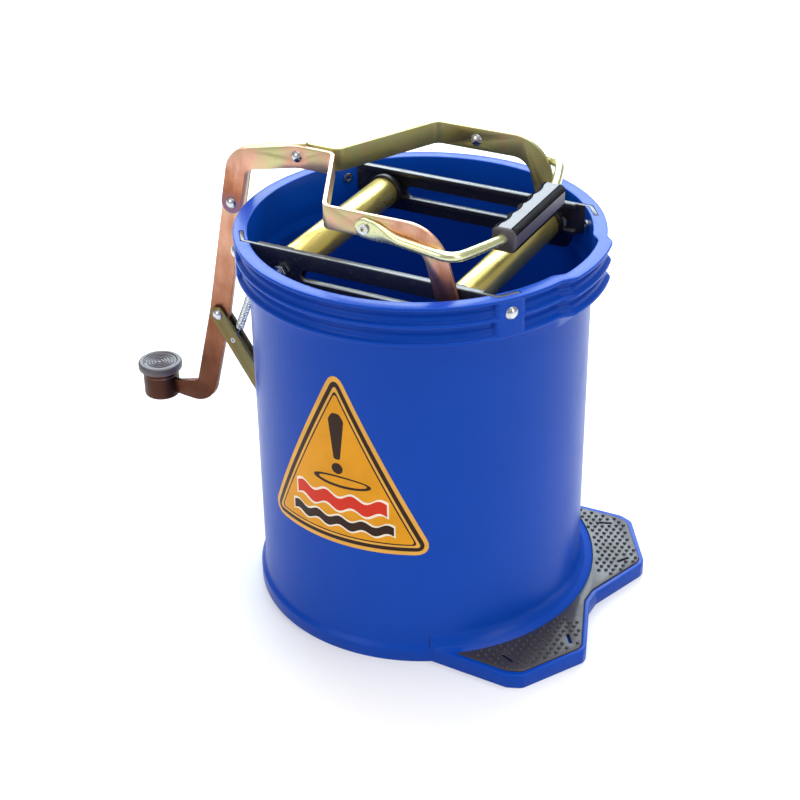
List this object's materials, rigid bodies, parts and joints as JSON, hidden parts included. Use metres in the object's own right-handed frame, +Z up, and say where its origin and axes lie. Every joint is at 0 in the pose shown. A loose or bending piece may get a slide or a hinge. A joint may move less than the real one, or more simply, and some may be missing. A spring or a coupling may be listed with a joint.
{
  "type": "wringer mop bucket",
  "caption": "Round mop bucket with a foot-pedal roller wringer, riveted side plates, yoke straps, carrying handle and a two-lobed foot plate.",
  "frame": {"origin": "the bucket's axis at the floor", "axes": "+X toward the pouring lip and the foot plate, -X toward the pedal, +Y along the rollers' axles, +Z up"},
  "size_m": [0.4762, 0.3, 0.3825],
  "materials": {
    "blue_plastic": "moulded polypropylene, satin to gloss",
    "black_rubber": "moulded rubber, matt",
    "label_film": "printed vinyl film",
    "black_painted_steel": "black powder coat on sheet steel",
    "bright_steel": "bright zinc-plated steel",
    "yellow_zinc": "yellow chromate zinc plate, iridescent",
    "black_plastic": "moulded plastic",
    "nylon": "moulded nylon"
  },
  "bodies": {
    "bucket_body": {"bucket": "blue_plastic", "foot_pad": "black_rubber", "caution_label": "label_film", "side_plate_front": "black_painted_steel", "side_plate_rear": "black_painted_steel", "rim_rivets": "bright_steel", "fixed_axle": "bright_steel", "fixed_axle_nuts": "bright_steel", "hinge_bracket": "yellow_zinc", "hinge_pin": "bright_steel", "bracket_rivets": "bright_steel", "spring_anchor": "yellow_zinc", "anchor_rivet": "bright_steel"},
    "fixed_roller": {"fixed_roller_tube": "yellow_zinc", "fixed_roller_plug_front": "black_plastic", "fixed_roller_plug_rear": "black_plastic"},
    "roller_carriage": {"slide_block_front": "nylon", "slide_block_rear": "nylon", "moving_axle": "bright_steel", "axle_washers": "bright_steel"},
    "moving_roller": {"moving_roller_tube": "yellow_zinc", "moving_roller_plug_front": "black_plastic", "moving_roller_plug_rear": "black_plastic"},
    "pedal_yoke": {"yoke_strap_front": "yellow_zinc", "yoke_strap_rear": "yellow_zinc", "pedal_lever": "yellow_zinc", "yoke_rivets": "bright_steel", "pedal_cup": "yellow_zinc", "pedal_cap": "black_rubber", "handle_rivets": "bright_steel"},
    "pedal_link": {"link_cheek_front": "yellow_zinc", "link_cheek_rear": "yellow_zinc", "link_rivet": "bright_steel", "spring_pin": "bright_steel"},
    "spring_coil": {"return_spring": "bright_steel"},
    "spring_hook": {"spring_lower_hook": "bright_steel"},
    "carry_handle": {"bail_handle": "yellow_zinc", "bail_grip": "black_rubber"}
  },
  "joints": [
    {"name": "roller_slide", "type": "slide", "parent": "bucket_body", "child": "roller_carriage", "axis": [-1, 0, 0], "range_m": [0, 0.055], "stiffness_N_per_m": 220, "springref_m": -0.07},
    {"name": "yoke_tilt", "type": "hinge", "parent": "roller_carriage", "child": "pedal_yoke", "pos_m": [0.075, 0, 0.3135], "axis": [0, -1, 0], "range_deg": [0, 9.25]},
    {"name": "link_swing", "type": "hinge", "parent": "bucket_body", "child": "pedal_link", "pos_m": [-0.151, 0, 0.131], "axis": [0, -1, 0], "range_deg": [0, 36]},
    {"name": "spring_swing", "type": "hinge", "parent": "bucket_body", "child": "spring_coil", "pos_m": [-0.15, 0, 0.272], "axis": [0, -1, 0], "range_deg": [-4.85, 0]},
    {"name": "spring_stretch", "type": "slide", "parent": "spring_coil", "child": "spring_hook", "axis": [-0.3643, 0, -0.9313], "range_m": [0, 0.037], "deforming": ["return_spring", "spring_lower_hook"]},
    {"name": "fixed_roller_spin", "type": "hinge", "parent": "bucket_body", "child": "fixed_roller", "pos_m": [-0.075, 0, 0.3135], "axis": [0, 1, 0], "continuous": true},
    {"name": "moving_roller_spin", "type": "hinge", "parent": "roller_carriage", "child": "moving_roller", "pos_m": [0.075, 0, 0.3135], "axis": [0, 1, 0], "continuous": true},
    {"name": "handle_swing", "type": "hinge", "parent": "pedal_yoke", "child": "carry_handle", "pos_m": [0.0047, 0, 0.3694], "axis": [0, -1, 0], "range_deg": [0, 165]}
  ],
  "couplings": [
    {"joint": "yoke_tilt", "follows": "roller_slide", "rad_per_m": 2.9207},
    {"joint": "link_swing", "follows": "roller_slide", "rad_per_m": 11.403},
    {"joint": "spring_swing", "follows": "roller_slide", "rad_per_m": -1.5228},
    {"joint": "spring_stretch", "follows": "roller_slide", "ratio": 0.6717}
  ]
}
